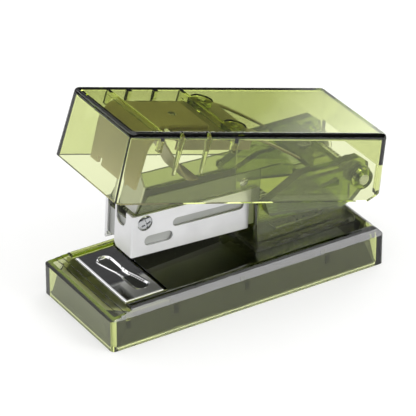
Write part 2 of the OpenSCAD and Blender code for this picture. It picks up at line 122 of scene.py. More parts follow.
def new_material(name):
    """A material with its node tree, its Principled shader and its output."""
    material = bpy.data.materials.new(name)
    material.use_nodes = True
    tree = material.node_tree
    return material, tree, tree.nodes["Principled BSDF"], tree.nodes["Material Output"]


def noise(tree, scale, detail=3.0, stretch=(1, 1, 1)):
    """Noise texture on object coordinates, in metres, stretched per axis."""
    coordinates = tree.nodes.new("ShaderNodeTexCoord")
    mapping = tree.nodes.new("ShaderNodeMapping")
    mapping.inputs["Scale"].default_value = stretch
    texture = tree.nodes.new("ShaderNodeTexNoise")
    texture.inputs["Scale"].default_value = scale
    texture.inputs["Detail"].default_value = detail
    tree.links.new(coordinates.outputs["Object"], mapping.inputs["Vector"])
    tree.links.new(mapping.outputs["Vector"], texture.inputs["Vector"])
    return texture.outputs["Fac"]


def spread(tree, value, low, high, start=0.35, end=0.65):
    """Maps a value's range from start to end onto low to high."""
    ramp = tree.nodes.new("ShaderNodeMapRange")
    ramp.inputs["From Min"].default_value = start
    ramp.inputs["From Max"].default_value = end
    ramp.inputs["To Min"].default_value = low
    ramp.inputs["To Max"].default_value = high
    tree.links.new(value, ramp.inputs["Value"])
    return ramp.outputs["Result"]


def bump(tree, shader, height, distance, strength=1.0):
    """Relief from a height texture, with its depth in metres."""
    node = tree.nodes.new("ShaderNodeBump")
    node.inputs["Strength"].default_value = strength
    node.inputs["Distance"].default_value = distance
    tree.links.new(height, node.inputs["Height"])
    tree.links.new(node.outputs["Normal"], shader.inputs["Normal"])


def varied(tree, shader, dark, light, scale):
    """Base colour that drifts between two colours."""
    mix = tree.nodes.new("ShaderNodeMix")
    mix.data_type = "RGBA"
    mix.inputs["A"].default_value = (*dark, 1)
    mix.inputs["B"].default_value = (*light, 1)
    tree.links.new(spread(tree, noise(tree, scale), 0, 1), mix.inputs["Factor"])
    tree.links.new(mix.outputs["Result"], shader.inputs["Base Color"])


def clear_plastic(name, loss=1, tint=(0.93, 0.93, 0.93), clear=1):
    """Green transparent plastic. loss is its depth of colour, and clear below 1 clouds it."""
    material, tree, shader, output = new_material(name)
    shader.inputs["Base Color"].default_value = (*tint, 1)
    shader.inputs["Transmission Weight"].default_value = clear
    shader.inputs["IOR"].default_value = PLASTIC_IOR
    marks = spread(tree, noise(tree, SCRATCHES, detail=4), 0.02, 0.05, start=0.5, end=0.75)
    tree.links.new(marks, shader.inputs["Roughness"])
    bump(tree, shader, noise(tree, WAVES, detail=1), 0.00002, 0.5)
    per_mm = [loss * k for k in GREEN_LOSS]
    volume = tree.nodes.new("ShaderNodeVolumeAbsorption")
    volume.inputs["Density"].default_value = max(per_mm) / MM
    volume.inputs["Color"].default_value = [1 - k / max(per_mm) for k in per_mm] + [1]
    tree.links.new(volume.outputs["Volume"], output.inputs["Volume"])
    return material


def metal(name, colour, rough, grain=0.06, stretch=(1, 1, 1), lift=0.000004, share=1):
    """Sheet metal with drawn grain and slight stains in its polish. A share below 1 dulls it."""
    material, tree, shader, _ = new_material(name)
    shader.inputs["Metallic"].default_value = share
    varied(tree, shader, [c * 0.9 for c in colour], colour, STAINS)
    lines = noise(tree, METAL_GRAIN, detail=4, stretch=stretch)
    tree.links.new(spread(tree, lines, rough, rough + grain), shader.inputs["Roughness"])
    bump(tree, shader, lines, lift, 0.6)
    return material


def solid_plastic(name, colour, rough, lift=0.00001):
    """Opaque plastic with mottled colour and a fine moulded grain."""
    material, tree, shader, _ = new_material(name)
    dark = [c * 0.82 for c in colour]
    light = [min(1, c * 1.1) for c in colour]
    varied(tree, shader, dark, light, MOTTLING)
    grain = noise(tree, PLASTIC_GRAIN, detail=2)
    tree.links.new(spread(tree, grain, rough - 0.08, rough + 0.08), shader.inputs["Roughness"])
    bump(tree, shader, grain, lift)
    return material


green = clear_plastic("clear_green")
green_cap = clear_plastic("clear_green_cap", 1.2)
green_deep = clear_plastic("clear_green_deep", 1.6, tint=(0.6, 0.66, 0.36), clear=0.8)
green_cloudy = clear_plastic("clear_green_cloudy", 1.3, tint=(0.84, 0.89, 0.5), clear=0.95)
chrome = metal("chrome", (0.86, 0.86, 0.87), 0.06, grain=0.05, stretch=DRAWN_SHEET)
cover_steel = metal(
    "cover_steel", (0.8, 0.8, 0.81), 0.28, grain=0.1, stretch=DRAWN_SHEET, share=0.8
)
bright_steel = metal("bright_steel", (0.66, 0.66, 0.65), 0.2, grain=0.12, stretch=DRAWN_STRIP)
channel_steel = metal(
    "channel_steel", (0.5, 0.51, 0.49), 0.4, grain=0.08, stretch=DRAWN_STRIP, lift=FAINT, share=0.5
)
channel_smoky = clear_plastic("channel_smoky", 2, tint=(0.66, 0.72, 0.42), clear=0.82)
spring_steel = metal("spring_steel", (0.42, 0.4, 0.36), 0.25, grain=0.15)
holder_steel = metal(
    "holder_steel",
    (0.72, 0.61, 0.42),
    0.5,
    grain=0.12,
    stretch=DRAWN_UPRIGHT,
    lift=FAINT,
    share=0.15,
)
leaf_steel = metal("leaf_steel", (0.42, 0.36, 0.24), 0.35, grain=0.12, lift=FAINT, share=0.4)
blade_steel = metal(
    "blade_steel", (0.85, 0.85, 0.82), 0.4, grain=0.1, stretch=DRAWN_UPRIGHT, lift=FAINT, share=0.3
)
zinc = metal("zinc", (0.5, 0.51, 0.52), 0.16, grain=0.12)
dark_plastic = solid_plastic("dark_plastic", (0.055, 0.06, 0.045), 0.45)
# Olive painted light, for the tray's faces under the front ledge
painted_light_olive = solid_plastic("painted_light_olive", (0.6, 0.63, 0.26), 0.5)
# Near-black painted shade, for the tray's inner faces and the anvil's groove ends
painted_shade_black = solid_plastic("painted_shade_black", (0.012, 0.013, 0.009), 0.5)
rubber = solid_plastic("rubber", (0.02, 0.02, 0.02), 0.7, lift=0.00003)
nylon = solid_plastic("nylon", (0.74, 0.73, 0.66), 0.4)

finishes = {
    "base_shell": green,
    "bottom_tray": dark_plastic,
    "rubber_feet": rubber,
    "anvil_plate": chrome,
    "hinge_bracket": green_cloudy,
    "bracket_screws": zinc,
    "hinge_pin": bright_steel,
    "hinge_bushes": nylon,
    "lift_spring": spring_steel,
    "magazine_cover": cover_steel,
    "magazine_channel": channel_smoky,
    "front_rivets": zinc,
    "rear_rivets": bright_steel,
    "staple_rail": bright_steel,
    "guide_rod": bright_steel,
    "pusher_spring": spring_steel,
    "carrier_housing": green_deep,
    "housing_screw": zinc,
    "staple_pusher": bright_steel,
    "cap_shell": green_cap,
    "driver_holder": holder_steel,
    "holder_screw": zinc,
    "driver_blade": blade_steel,
    "leaf_spring": leaf_steel,
    "spring_screws": zinc,
}
for name, material in finishes.items():
    node = nodes[name]
    node.data.materials.clear()
    node.data.materials.append(material)

# ---------------------------------------------------------- making of pieces

FILLET_SEGMENTS = 2
FILLET_CREASE = math.radians(25)
FOOT_EDGE = 0.3 * MM  # edges below this stand on the table and stay sharp


def from_bmesh(bm, name, place=None):
    """Mesh from a bmesh, which it uses up, moved from its own place to the frame's."""
    if place is not None:
        bm.transform(place)
    bmesh.ops.recalc_face_normals(bm, faces=bm.faces)
    mesh = bpy.data.meshes.new(name)
    bm.to_mesh(mesh)
    bm.free()
    return mesh


def add_piece(name, bm, node, place=None, crease=35):
    """Puts a shape in a CAD node's place, with the node's body and finish.

    Faces that meet at more than the crease, in degrees, keep a sharp edge between them.
    """
    mesh = from_bmesh(bm, name, place)
    mesh.shade_smooth()
    mesh.set_sharp_from_angle(angle=math.radians(crease))
    mesh.materials.clear()
    mesh.materials.append(finishes[node])
    piece = bpy.data.objects.new(name, mesh)
    bpy.context.scene.collection.objects.link(piece)
    weighted = piece.modifiers.new("weighted", "WEIGHTED_NORMAL")
    weighted.keep_sharp = True
    weighted.weight = 100
    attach(piece, body_of_node[node])
    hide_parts(node)
    return piece


def make_faces_whole(bm, gap):
    """Joins corners closer than a gap, and flat faces that were cut into triangles."""
    bmesh.ops.remove_doubles(bm, verts=bm.verts, dist=gap)
    bmesh.ops.dissolve_limit(bm, angle_limit=math.radians(0.5), verts=bm.verts, edges=bm.edges)


def node_bmesh(node):
    """The CAD node's closed shape, with its flat faces whole again."""
    bm = bmesh.new()
    bm.from_mesh(nodes[node].data)
    make_faces_whole(bm, 2e-6)
    return bm


def rounded(bm, edges, radius, segments, clamp=False):
    """Rounds edges over, in the bmesh's own unit."""
    bmesh.ops.bevel(
        bm,
        geom=edges,
        offset=radius,
        segments=segments,
        profile=0.5,
        affect="EDGES",
        clamp_overlap=clamp,
    )


def add_filleted(node, radius, bm=None):
    """Piece from the CAD node's shape, or a given one, with its edges rounded by a radius in mm."""
    bm = bm or node_bmesh(node)
    sharp = [
        e
        for e in bm.edges
        if e.calc_face_angle(0) > FILLET_CREASE and max(v.co.z for v in e.verts) > FOOT_EDGE
    ]
    rounded(bm, sharp, radius * MM, FILLET_SEGMENTS, clamp=True)
    add_piece(node + "_finished", bm, node)


def combine(target, parts, operation):
    """Adds parts to a target or cuts them from it. Takes bmeshes and returns a new one."""
    base = bpy.data.objects.new("combine_base", from_bmesh(target, "combine_base"))
    bpy.context.scene.collection.objects.link(base)
    tools = []
    for bm in parts:
        tool = bpy.data.objects.new("combine_tool", from_bmesh(bm, "combine_tool"))
        bpy.context.scene.collection.objects.link(tool)
        tools.append(tool)
        step = base.modifiers.new("step", "BOOLEAN")
        step.operation = operation
        step.solver = "EXACT"
        step.object = tool
    bpy.context.view_layer.update()
    result = bmesh.new()
    result.from_object(base, bpy.context.evaluated_depsgraph_get())
    for thing in [base] + tools:
        mesh = thing.data
        bpy.data.objects.remove(thing)
        bpy.data.meshes.remove(mesh)
    return result


def join(parts):
    """One bmesh that holds all the parts, which it uses up."""
    whole = bmesh.new()
    for part in parts:
        mesh = bpy.data.meshes.new("part")
        part.to_mesh(mesh)
        part.free()
        whole.from_mesh(mesh)
        bpy.data.meshes.remove(mesh)
    return whole


def moved(bm, offset):
    """Moves a bmesh by an offset and returns it."""
    bmesh.ops.translate(bm, verts=bm.verts, vec=offset)
    return bm


def turned(bm, degrees, axis):
    """Turns a bmesh about an axis through its origin and returns it."""
    matrix = Matrix.Rotation(math.radians(degrees), 3, axis)
    bmesh.ops.rotate(bm, verts=bm.verts, cent=(0, 0, 0), matrix=matrix)
    return bm


def box_mesh(low, high):
    """Closed box between two corners."""
    bm = bmesh.new()
    bmesh.ops.create_cube(bm, size=1)
    for vertex in bm.verts:
        vertex.co = Vector([low[i] if vertex.co[i] < 0 else high[i] for i in range(3)])
    return bm


def side_box(side, x, y, z):
    """Box from pairs of x, y and z, with y counted outward from the middle on one side."""
    y0, y1 = sorted((side * y[0], side * y[1]))
    return box_mesh((x[0], y0, z[0]), (x[1], y1, z[1]))


def cone(x, y, z0, z1, r0, r1, segments=24):
    """Upright cone or cylinder."""
    bm = bmesh.new()
    bmesh.ops.create_cone(
        bm, cap_ends=True, segments=segments, radius1=r0, radius2=r1, depth=z1 - z0
    )
    return moved(bm, (x, y, (z0 + z1) / 2))


def cross_cylinder(x, z, y0, y1, r, segments=48):
    """Cylinder across the stapler."""
    bm = bmesh.new()
    bmesh.ops.create_cone(bm, cap_ends=True, segments=segments, radius1=r, radius2=r, depth=y1 - y0)
    return moved(turned(bm, 90, "X"), (x, (y0 + y1) / 2, z))


def side_prism(outline, y0, y1):
    """Prism from an outline in X and Z, from y0 to y1."""
    bm = bmesh.new()
    near = [bm.verts.new((x, y0, z)) for x, z in outline]
    far = [bm.verts.new((x, y1, z)) for x, z in outline]
    bm.faces.new(near)
    bm.faces.new(list(reversed(far)))
    for i in range(len(outline)):
        j = (i + 1) % len(outline)
        bm.faces.new((near[i], far[i], far[j], near[j]))
    bmesh.ops.recalc_face_normals(bm, faces=bm.faces)
    return bm


def front_prism(outline, x0, x1):
    """Prism from an outline in Y and Z, from x0 to x1."""
    return turned(side_prism(outline, -x1, -x0), 90, "Z")


def arc(x, z, radius, degrees):
    """Points on a circle, one for each angle."""
    angles = [math.radians(a) for a in degrees]
    return [(x + radius * math.cos(a), z + radius * math.sin(a)) for a in angles]


def capsule(x0, x1, z, radius, steps=14):
    """Outline of a slot with round ends, in X and Z."""
    half_turn = [180 * i / steps for i in range(steps + 1)]
    front = arc(x1, z, radius, [a - 90 for a in half_turn])
    return front + arc(x0, z, radius, [a + 90 for a in half_turn])


def curve_through(points, steps=8):
    """Catmull-Rom curve through points of any number of values."""
    out = []
    last = len(points) - 1
    for i in range(last):
        before, start, end, after = (points[min(max(i + k, 0), last)] for k in (-1, 0, 1, 2))
        for k in range(steps):
            t = k / steps
            out.append(tuple(
                0.5 * (
                    2 * b
                    + (c - a) * t
                    + (2 * a - 5 * b + 4 * c - d) * t * t
                    + (3 * b - a - 3 * c + d) * t ** 3
                )
                for a, b, c, d in zip(before, start, end, after)
            ))
    out.append(tuple(points[-1]))
    return out


def sides_between(bm, rings):
    """Faces that join each ring of corners to the next one."""
    for a, b in zip(rings, rings[1:]):
        for i in range(len(a)):
            j = (i + 1) % len(a)
            bm.faces.new((a[i], a[j], b[j], b[i]))


def ribbon(rows, thickness):
    """Closed strip through rows of (x, z, half width), with its thickness along its normal."""
    bm = bmesh.new()
    rings = []
    edge = min(0.12, thickness / 3)  # width of the chamfer along each side
    thin = 0.4  # share of the thickness left outside it
    for i, (x, z, half) in enumerate(rows):
        before, after = rows[max(i - 1, 0)], rows[min(i + 1, len(rows) - 1)]
        along = Vector((after[0] - before[0], after[1] - before[1])).normalized()
        n = Vector((-along.y, along.x)) * thickness / 2
        ring = []
        for y, share in ((-half, thin), (-half + edge, 1), (half - edge, 1), (half, thin)):
            ring.append((x + n.x * share, y, z + n.y * share))
        for y, share in ((half, thin), (half - edge, 1), (-half + edge, 1), (-half, thin)):
            ring.append((x - n.x * share, y, z - n.y * share))
        rings.append([bm.verts.new(p) for p in ring])
    sides_between(bm, rings)
    bm.faces.new(rings[0])
    bm.faces.new(rings[-1])
    bmesh.ops.recalc_face_normals(bm, faces=bm.faces)
    return bm


def tube(points, radius, sides=8):
    """Closed round wire along a list of points."""
    bm = bmesh.new()
    rings = []
    previous = None
    for i, p in enumerate(points):
        along = (points[min(i + 1, len(points) - 1)] - points[max(i - 1, 0)]).normalized()
        if previous is None:
            side = along.orthogonal().normalized()
        else:
            side = (previous - along * previous.dot(along)).normalized()
        previous = side
        other = along.cross(side)
        rings.append([
            bm.verts.new(p + radius * (math.cos(a) * side + math.sin(a) * other))
            for a in (2 * math.pi * k / sides for k in range(sides))
        ])
    sides_between(bm, rings)
    bm.faces.new(list(reversed(rings[0])))
    bm.faces.new(rings[-1])
    return bm


# --------------------------------------------------------------- cap's pieces

# Outline of the cap in mm from the datum, level
CAP_FRONT = 0.9
CAP_BOTTOM = 16.25
CAP_TOP = 31.98
CAP_REAR_BOTTOM = 69.4
CAP_REAR_TOP = 66.7
CAP_WIDTH = 25.7
CAP_TOP_FRONT = 24.1
CAP_TOP_REAR = 25.6
CAP_WALL = 1.2
CAP_STATIONS = 10
CAD_ROOF = 2.0
SEEN_ROOF = 1.5

# The metal under the cap hangs from the CAD's ceiling, its sheets lying on each other
CEILING = CAP_TOP - CAD_ROOF
HANGING_GAP = 0.01
HOLDER_SHEET = 0.8
SPRING_SHEET = 0.45
SCREW_R = 0.95
HOLDER_SCREW_X = 18.5
BOSS_X = 30.2
BOSS_Y = 6.6


def cap_half(x, z, inset=0):
    """Half the cap's width at a place on its side, less an inset."""
    along = (x - CAP_FRONT) / (CAP_REAR_TOP - CAP_FRONT)
    top = CAP_TOP_FRONT + (CAP_TOP_REAR - CAP_TOP_FRONT) * along
    rise = (z - CAP_BOTTOM) / (CAP_TOP - CAP_BOTTOM)
    return (CAP_WIDTH + (top - CAP_WIDTH) * rise) / 2 - inset


def cap_rear(z):
    """The X of the cap's leaning rear face."""
    rise = (z - CAP_BOTTOM) / (CAP_TOP - CAP_BOTTOM)
    return CAP_REAR_BOTTOM - (CAP_REAR_BOTTOM - CAP_REAR_TOP) * rise


def cap_body(inset, roof, low, upright_r, top_r):
    """Solid that fills the cap's outline, moved in by inset, with round corners.

    The sides are warped, so they are divided into stations that keep them smooth.
    """
    top = CAP_TOP - roof
    bm = bmesh.new()
    rings = []
    for z in (low, top):
        start, end = CAP_FRONT + inset, cap_rear(z) - inset
        along = [start + (end - start) * i / CAP_STATIONS for i in range(CAP_STATIONS + 1)]
        ring = [bm.verts.new((x, -cap_half(x, z, inset), z)) for x in along]
        ring += [bm.verts.new((x, cap_half(x, z, inset), z)) for x in reversed(along)]
        rings.append(ring)
    bm.faces.new(rings[0])
    bm.faces.new(rings[1])
    sides_between(bm, rings)
    bmesh.ops.recalc_face_normals(bm, faces=bm.faces)
    uprights = [
        e
        for e in bm.edges
        if abs(e.verts[0].co.z - e.verts[1].co.z) > 1 and e.calc_face_angle(0) > 0.5
    ]
    rounded(bm, uprights, upright_r, 6)
    bm.normal_update()
    rim = [
        e
        for e in bm.edges
        if min(v.co.z for v in e.verts) > top - 0.01
        and any(abs(f.normal.z) < 0.5 for f in e.link_faces)
    ]
    rounded(bm, rim, top_r, 5)
    return bm


def make_cap():
    """The cap's moulding: open below, with a gap at the rear, and pegs, ribs and bosses inside."""
    ceiling = CAP_TOP - SEEN_ROOF
    in_roof = ceiling + 0.3  # where the parts that hang from the roof begin
    outside = cap_body(0, 0, CAP_BOTTOM, upright_r=1.3, top_r=1.0)
    inside = cap_body(CAP_WALL, SEEN_ROOF, CAP_BOTTOM - 4, upright_r=0.4, top_r=0.3)
    past_rear = 80
    hinge_gap = box_mesh((PIN_X - 5, -10.4, 0), (past_rear, 10.4, PIN_Z + 3))
    foot = CAP_BOTTOM - 0.2
    heel_cut = side_prism([(65.6, foot), (past_rear, foot), (past_rear, 26.3)], -20, 20)
    bm = combine(outside, [inside, hinge_gap, heel_cut], "DIFFERENCE")

    additions = []
    for side in (-1, 1):
        hinge_boss = sorted((side * 10.5, side * (cap_half(PIN_X, PIN_Z, CAP_WALL) + 0.3)))
        additions.append(cross_cylinder(PIN_X, PIN_Z, *hinge_boss, 2.4))
        for x, drop in ((14.2, 8.3), (20.9, 8.1)):  # pegs
            y = side * (cap_half(x, ceiling - drop, CAP_WALL) - 0.7)
            additions.append(cone(x, y, ceiling - drop, in_roof, 0.4, 0.7))
        additions.append(cone(BOSS_X, side * BOSS_Y, ceiling - 1.28, in_roof, 2.4, 2.5, 40))
    for x0, x1, drop in ((8.7, 9.6, 0.9), (27.2, 28.2, 1.28)):  # ribs, deep at the walls
        wall = cap_half(x0, ceiling, CAP_WALL) + 0.2
        additions.append(box_mesh((x0, -wall, ceiling - drop), (x1, wall, in_roof)))
        for side in (-1, 1):
            ends = side_box(side, (x0, x1), (wall - 1.3, wall), (ceiling - 3.1, in_roof))
            additions.append(ends)
    bm = combine(bm, additions, "UNION")

    bores = [cross_cylinder(PIN_X, PIN_Z, -11.95, 11.95, 1.25)]
    for side in (-1, 1):
        bores.append(cone(BOSS_X, side * BOSS_Y, ceiling - 2, ceiling - 0.01, 0.9, 0.9))
    bm = combine(bm, bores, "DIFFERENCE")
    add_piece("cap_moulding", bm, "cap_shell", ON_CAP, crease=30)


def make_blade():
    """Driver blade, as wide as the staples at its tip, with a narrow stem up to the holder."""
    top = CEILING - HANGING_GAP - HOLDER_SHEET
    front, sheet = 12.6, 0.5
    blade_half, stem_half = 4.25, 1.7
    outline = [(3.95, 9.9), (blade_half, 10.4), (blade_half, 16.2), (stem_half, 18.2)]
    outline.append((stem_half, top))
    outline += [(-y, z) for y, z in reversed(outline)]
    tab = box_mesh((front, -4.2, top - sheet), (front + 1.5, 4.2, top))
    bm = combine(front_prism(outline, front, front + sheet), [tab], "UNION")
    bm.transform(ON_CAP)
    add_filleted("driver_blade", 0.06, bm=bm)


def make_leaf_spring():
    """Bent spring under the cap: a plate, one wide leg in front and two thin ones behind."""
    middle = CEILING - HANGING_GAP - HOLDER_SHEET - SPRING_SHEET / 2
    plate_half = 8.4
    plate = ribbon([(x, middle, plate_half) for x in (14.5, 20, 28, 34.5)], SPRING_SHEET)
    screws = [(HOLDER_SCREW_X, 0), (BOSS_X, -BOSS_Y), (BOSS_X, BOSS_Y)]
    holes = [cone(x, y, middle - 1, middle + 1, SCREW_R, SCREW_R) for x, y in screws]
    plate = combine(plate, holes, "DIFFERENCE")

    # Rows of x, z and half width
    front_leg = curve_through([
        (14.9, middle - 0.1, 4.1),
        (14.4, 28.1, 4.1),
        (15.2, 26.4, 4.1),
        (17.4, 24.0, 4.1),
        (19.8, 21.6, 4.1),
        (21.8, 19.2, 4.1),
        (23.2, 18.0, 4.1),
        (24.6, 17.7, 4.0),
        (26.4, 17.9, 3.8),
    ])
    rear_leg = curve_through([
        (34.1, middle - 0.05, 1.0),
        (35.4, 28.8, 1.0),
        (37.2, 28.3, 1.0),
        (41, 27.0, 0.95),
        (45, 25.5, 0.85),
        (48.6, 24.1, 0.6),
    ])
    parts = [ribbon(front_leg, SPRING_SHEET)]
    for side in (-1, 1):
        parts.append(moved(ribbon(rear_leg, SPRING_SHEET), (0, side * 6.75, 0)))
    for side in (-1, 1):  # flanges along the plate
        y = (plate_half - SPRING_SHEET, plate_half)
        parts.append(side_box(side, (15, 33.8), y, (middle - 2.2, middle + 0.1)))
    bm = combine(plate, parts, "UNION")
    add_piece("leaf_spring_bent", bm, "leaf_spring", ON_CAP, crease=30)


def make_driver_holder():
    """Plate behind the cap's front face, bent back under its ceiling."""
    top = CEILING - HANGING_GAP - HOLDER_SHEET / 2
    # Rows of x, z and half width
    plate = curve_through([
        (7.7, 17.6, 8.05),
        (7.7, 20.5, 8.25),
        (7.7, 23.5, 8.45),
        (7.7, 26.2, 8.6),
        (8.1, 27.9, 8.6),
        (9.2, 29.0, 8.2),
        (10.8, top - 0.1, 6.9),
        (12.6, top, 6.2),
        (15, top, 6),
        (19, top, 6),
        (24, top, 6),
    ], 5)
    cuts = [box_mesh((6, y, 17), (9, y + 1.6, 19.1)) for y in (-5.2, 3.6)]
    cuts.append(cone(HOLDER_SCREW_X, 0, top - 1, top + 1, SCREW_R, SCREW_R))
    bm = combine(ribbon(plate, HOLDER_SHEET), cuts, "DIFFERENCE")
    add_piece("driver_holder_bent", bm, "driver_holder", ON_CAP, crease=30)


# -------------------------------------------------------------- base's pieces


def make_base():
    """The base's shell with its tab pockets filled, so that the tray's tabs show as dark marks."""
    low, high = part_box("base_shell")
    shell = node_bmesh("base_shell")
    half_fill = [0.8 * MM, 0.25 * MM, 1.4 * MM]
    fills = []
    for x in (4, 15.7, 33.3, 53.7):
        for side in (-1, 1):
            middle = LEVEL @ Vector((x, side * (high.y / MM - 1.2), 5.25))
            fills.append(moved(box_mesh([-h for h in half_fill], half_fill), middle))
    shell = combine(shell, fills, "UNION")

    def on_border(corner):
        """Whether a corner is on the top, along the sides or at either end."""
        at_end = not low.x + 2 * MM < corner.x < high.x - 2 * MM
        return corner.z > high.z - 0.01 * MM and (abs(corner.y) > 12 * MM or at_end)

    border = [
        e
        for e in shell.edges
        if e.calc_face_angle(0) > 0.4 and all(on_border(v.co) for v in e.verts)
    ]
    rounded(shell, border, 0.9 * MM, 4)
    add_filleted("base_shell", 0.25, bm=shell)


def paint_tray_shade_and_light():
    """Painted shade in near black on the tray's inner faces, and painted light in olive on those under the ledge
    at the front, where light comes through.
    """
    ledge_end = (LEVEL @ Vector((12, 0, 0))).x
    tray = bpy.data.objects["bottom_tray_finished"].data
    bm = bmesh.new()
    bm.from_mesh(tray)
    everything = bm.verts[:] + bm.edges[:] + bm.faces[:]
    bmesh.ops.bisect_plane(
        bm, geom=everything, dist=1e-7, plane_co=(ledge_end, 0, 0), plane_no=(1, 0, 0)
    )
    bm.to_mesh(tray)
    bm.free()
    tray.materials.append(painted_shade_black)
    tray.materials.append(painted_light_olive)
    # outer keeps the tray's own colour; dark is painted shade and olive is painted light
    outer, dark, olive = range(3)
    for face in tray.polygons:
        from_middle = Vector((face.center.x, face.center.y * 2, 0))
        faces_out = from_middle.dot(Vector((face.normal.x, face.normal.y, 0))) > 0
        if faces_out and abs(face.normal.z) < 0.7:
            face.material_index = outer
        else:
            # Painted light before the ledge's end, painted shade behind it
            face.material_index = olive if face.center.x < ledge_end else dark


def make_lift_spring():
    """Bent strip under the magazine's rear, drawn at rest; the real one flattens as the magazine is pressed."""
    foot = 10.525
    flat = [(46.5, foot), (52, foot), (56.8, foot)]
    bend = [(57.7, foot + 0.08), (58.3, foot + 0.38), (58.55, foot + 0.8)]
    bend += [(58.3, foot + 1.2), (57.5, foot + 1.46)]
    arm = [(52.5, 12.32), (47.4, 12.65), (45.6, 12.85)]
    strip = ribbon([(x, z, 3.6) for x, z in flat + bend + arm], SPRING_SHEET)
    piece = add_piece("lift_spring_bent", strip, "lift_spring", LEVEL)
    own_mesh(piece)


def peanut(x, y):
    """Distance in mm outside the outline of the anvil's two grooves for a staple's legs."""
    turn = math.radians(7)
    across = x * math.cos(turn) + y * math.sin(turn)
    along = abs(-x * math.sin(turn) + y * math.cos(turn))
    half_length, waist, swell = 6.2, 0.85, 0.65
    half_width = waist + swell * min(1, max(0, (along - 1) / 4.5)) ** 0.8
    return math.hypot(across, max(0, along - half_length)) - half_width


def make_anvil():
    """Pressed plate with rolled edges, a raised lip round the grooves, and painted shade in the groove ends."""
    low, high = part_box("anvil_plate")
    low, high = low / MM, high / MM
    middle_x = low.x + 5.5
    roll, roll_width = 0.28, 0.45
    lip, lip_width = 0.12, 0.2
    depth, slope = 0.36, 0.07
    nx, ny = 64, 140
    bm = bmesh.new()
    grid = []
    for i in range(nx + 1):
        row = []
        for j in range(ny + 1):
            x = low.x + (high.x - low.x) * i / nx
            y = low.y + (high.y - low.y) * j / ny
            gap = peanut(x - middle_x, y)
            edge = min(x - low.x, high.x - x, y - low.y, high.y - y)
            z = high.z - roll * max(0, 1 - edge / roll_width) ** 2
            z += lip * math.exp(-((gap - lip_width) / lip_width) ** 2)
            z -= depth / (1 + math.exp(gap / slope))
            row.append(bm.verts.new((x, y, z)))
        grid.append(row)
    for i in range(nx):
        for j in range(ny):
            bm.faces.new((grid[i][j], grid[i + 1][j], grid[i + 1][j + 1], grid[i][j + 1]))
    border = (
        [grid[i][0] for i in range(nx)]
        + [grid[nx][j] for j in range(ny)]
        + [grid[i][ny] for i in range(nx, 0, -1)]
        + [grid[0][j] for j in range(ny, 0, -1)]
    )
    foot = [bm.verts.new((v.co.x, v.co.y, low.z)) for v in border]
    for i in range(len(border)):
        j = (i + 1) % len(border)
        bm.faces.new((border[i], foot[i], foot[j], border[j]))
    bm.faces.new(list(reversed(foot)))
    bm.transform(Matrix.Scale(MM, 4))
    piece = add_piece("anvil_pressing", bm, "anvil_plate", crease=50)
    # The groove ends get near-black painted shade
    piece.data.materials.append(painted_shade_black)
    for face in piece.data.polygons:
        x, y = face.center.x / MM - middle_x, face.center.y / MM
        at_groove_end = abs(abs(y) - 4.3) < 2.9
        if peanut(x, y) < -0.12 and at_groove_end and face.normal.z > 0.5:
            face.material_index = 1


# ---------------------------------------------------------- magazine's pieces

MAGAZINE_FLOOR = 12.2  # height of its underside, level


def make_cover():
    """Folded steel cover: two slotted sides, a floor strip, and the flaps across its front."""
    front, rear, foot, top, half, sheet = 10, 39, MAGAZINE_FLOOR, 21.9, 5.5, 0.5
    flap_edge = 1.6
    near_flap = front_prism(
        [(-half, foot), (0.7, foot), (flap_edge, foot + 0.9), (flap_edge, top), (-half, top)],
        front,
        front + sheet,
    )
    far_flap = box_mesh((front, half - 1, foot + 1.4), (front + sheet, half, top))
    near_side = box_mesh((front, -half, foot), (rear, sheet - half, top))
    far_side = box_mesh((front, half - sheet, foot), (rear, half, top))
    floor_strip = box_mesh((13.3, 0.2 - half, foot), (rear, half - 0.2, foot + sheet))
    bm = combine(near_flap, [near_side, far_side, far_flap, floor_strip], "UNION")

    notch_y, notch_r = -0.9, 1.9
    notch = arc(notch_y, top - notch_r, notch_r, range(180, 361, 12))
    notch += [(notch_y + notch_r, top + 1), (notch_y - notch_r, top + 1)]
    cuts = [
        side_prism(capsule(14.3, 18.9, foot + 3.3, 1.15), -half - 1, half + 1),
        side_prism(capsule(21, 36.6, foot + 6.1, 1), -half - 1, half + 1),
        front_prism(notch, front - 1, front + 1),
    ]
    bm = combine(bm, cuts, "DIFFERENCE")
    make_faces_whole(bm, 0.003)
    fold = [
        e for e in bm.edges if all(v.co.x < front + 0.01 and v.co.y < 0.01 - half for v in e.verts)
    ]
    rounded(bm, fold, 0.42, 4)
    bm.transform(ON_MAGAZINE)
    add_filleted("magazine_cover", 0.05, bm=bm)


def make_rivets(node, place, face_y, shank_y, shank_r, head_r, rise):
    """Domed heads with a cross recess, on both sides of the magazine."""
    dome = [(0, 1), (0.35, 0.93), (0.65, 0.72), (0.85, 0.45), (0.97, 0.18), (1, 0)]
    shank_end = shank_y - face_y
    profile = [(r * head_r, rise * h) for r, h in dome]
    profile += [(shank_r, 0), (shank_r, shank_end), (0, shank_end)]
    arm_length, arm_width, recess_floor = head_r * 0.62, head_r * 0.12, rise * 0.25
    parts = []
    for side in (-1, 1):
        bm = bmesh.new()
        verts = [bm.verts.new((r, 0, h)) for r, h in profile]
        edges = [bm.edges.new(pair) for pair in zip(verts, verts[1:])]
        bmesh.ops.spin(
            bm, geom=verts + edges, cent=(0, 0, 0), axis=(0, 0, 1), angle=2 * math.pi, steps=32
        )
        bmesh.ops.remove_doubles(bm, verts=bm.verts, dist=1e-4)
        cuts = []
        for turn in (20, 110):
            low, high = (-arm_length, -arm_width, recess_floor), (arm_length, arm_width, rise * 2)
            cuts.append(turned(box_mesh(low, high), turn, "Z"))
        bmesh.ops.recalc_face_normals(bm, faces=bm.faces)
        bm = combine(bm, cuts, "DIFFERENCE")
        parts.append(moved(turned(bm, side * -90, "X"), (place[0], side * face_y, place[1])))
    add_piece(node + "_domed", join(parts), node, ON_MAGAZINE, crease=40)


